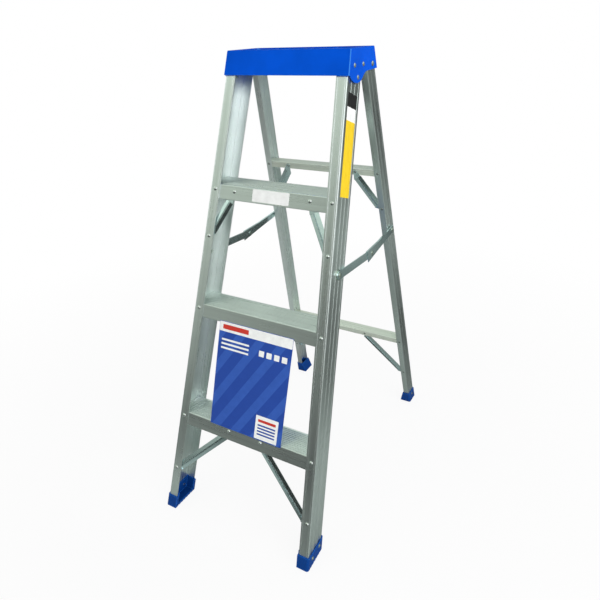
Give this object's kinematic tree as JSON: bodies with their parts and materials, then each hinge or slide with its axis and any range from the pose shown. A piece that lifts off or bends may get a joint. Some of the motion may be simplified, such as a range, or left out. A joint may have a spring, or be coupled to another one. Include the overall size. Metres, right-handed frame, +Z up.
{
  "type": "step ladder",
  "caption": "Folding aluminium step ladder with a moulded cap, ribbed treads between channel rails, a braced rear frame and locking spreaders.",
  "frame": {"origin": "on the floor, midway between the front and rear feet and between the sides", "axes": "+Z up; the steps face -Y and the rear frame stands at +Y; +X is the right-hand side for a person who faces the steps"},
  "size_m": [0.4602, 0.8022, 1.145],
  "materials": {
    "aluminium": "satin mill finish",
    "galvanised_steel": "galvanised",
    "rivet": "bright",
    "cap_plastic": "semi-gloss moulded",
    "foot_plastic": "matte moulded",
    "card": "printed card"
  },
  "bodies": {
    "front_frame": {"front_rail_left": "aluminium", "front_rail_right": "aluminium", "step_bottom": "aluminium", "step_middle": "aluminium", "step_top": "aluminium", "top_cap": "cap_plastic", "hinge_plate_left": "galvanised_steel", "hinge_plate_right": "galvanised_steel", "front_foot_left": "foot_plastic", "front_foot_right": "foot_plastic", "bottom_step_brace_left": "galvanised_steel", "bottom_step_brace_right": "galvanised_steel", "top_step_brace_left": "galvanised_steel", "top_step_brace_right": "galvanised_steel", "step_rivets_bottom": "rivet", "step_rivets_middle": "rivet", "step_rivets_top": "rivet", "bottom_brace_rivets": "rivet", "top_brace_rivets": "rivet", "cap_rivets": "rivet", "pivot_rivets": "rivet", "front_foot_rivets": "rivet", "spreader_front_rivets": "rivet", "spreader_washers": "galvanised_steel", "info_card": "card"},
    "rear_frame": {"rear_rail_left": "aluminium", "rear_rail_right": "aluminium", "rear_bar_upper": "aluminium", "rear_bar_lower": "aluminium", "upper_rear_brace_left": "galvanised_steel", "upper_rear_brace_right": "galvanised_steel", "lower_rear_brace_left": "galvanised_steel", "lower_rear_brace_right": "galvanised_steel", "rear_foot_left": "foot_plastic", "rear_foot_right": "foot_plastic", "rear_bar_rivets": "rivet", "upper_rear_brace_rivets": "rivet", "lower_rear_brace_rivets": "rivet", "rear_foot_rivets": "rivet"},
    "spreader_front_left": {"spreader_front_arm_left": "galvanised_steel"},
    "spreader_rear_left": {"spreader_rear_arm_left": "galvanised_steel", "spreader_joint_rivet_left": "rivet", "spreader_rear_rivet_left": "rivet"},
    "spreader_front_right": {"spreader_front_arm_right": "galvanised_steel"},
    "spreader_rear_right": {"spreader_rear_arm_right": "galvanised_steel", "spreader_joint_rivet_right": "rivet", "spreader_rear_rivet_right": "rivet"}
  },
  "joints": [
    {"name": "rear_frame_fold", "type": "hinge", "parent": "front_frame", "child": "rear_frame", "pos_m": [0, 0.09136, 1.109], "axis": [-1, 0, 0], "range_deg": [0, 32.9]},
    {"name": "spreader_front_hinge_left", "type": "hinge", "parent": "front_frame", "child": "spreader_front_left", "pos_m": [-0.18645, -0.13257, 0.68229], "axis": [0.9981, 0, -0.0619], "range_deg": [0, 62.65]},
    {"name": "spreader_joint_left", "type": "hinge", "parent": "spreader_front_left", "child": "spreader_rear_left", "pos_m": [-0.18724, 0.05199, 0.66951], "axis": [-0.9981, 0, 0.0619], "range_deg": [0, 165.86]},
    {"name": "spreader_front_hinge_right", "type": "hinge", "parent": "front_frame", "child": "spreader_front_right", "pos_m": [0.18645, -0.13257, 0.68229], "axis": [0.9981, 0, 0.0619], "range_deg": [0, 62.65]},
    {"name": "spreader_joint_right", "type": "hinge", "parent": "spreader_front_right", "child": "spreader_rear_right", "pos_m": [0.18724, 0.05199, 0.66951], "axis": [-0.9981, 0, -0.0619], "range_deg": [0, 165.86]}
  ],
  "couplings": [
    {"joint": "spreader_front_hinge_left", "follows": "rear_frame_fold", "ratio": 1.9028},
    {"joint": "spreader_joint_left", "follows": "rear_frame_fold", "ratio": 5.0398},
    {"joint": "spreader_front_hinge_right", "follows": "rear_frame_fold", "ratio": 1.9028},
    {"joint": "spreader_joint_right", "follows": "rear_frame_fold", "ratio": 5.0398}
  ]
}
